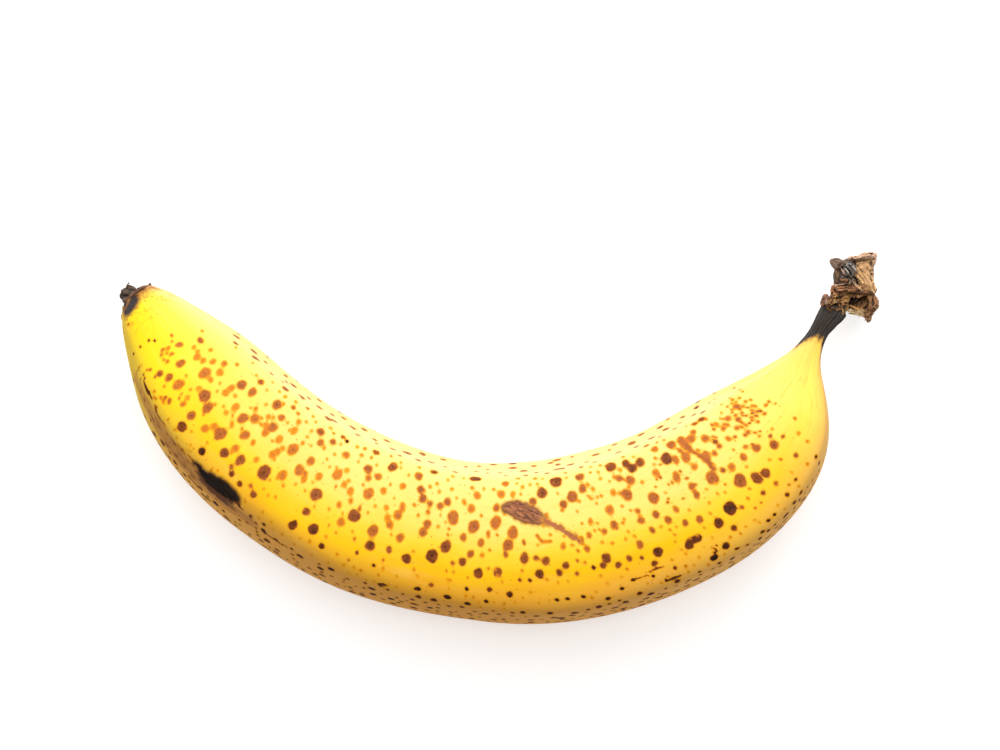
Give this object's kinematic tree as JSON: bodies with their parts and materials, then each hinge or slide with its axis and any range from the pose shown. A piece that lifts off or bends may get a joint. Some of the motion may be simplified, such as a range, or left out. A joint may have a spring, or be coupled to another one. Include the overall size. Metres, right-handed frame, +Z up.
{
  "type": "banana",
  "caption": "Ripe curved banana lying on its side, with a blunt five-ridged section, a narrow stem with a torn crown and a small dried blossom tip.",
  "frame": {"origin": "centre of the bounding box in plan, on the table plane that the banana lies on", "axes": "+X toward the stem end, +Y toward the hollow side of the bend, +Z up from the table"},
  "size_m": [0.1795, 0.0885, 0.0355],
  "materials": {
    "ripe_peel": "satin"
  },
  "bodies": {
    "root": {"banana": "ripe_peel"}
  },
  "joints": []
}
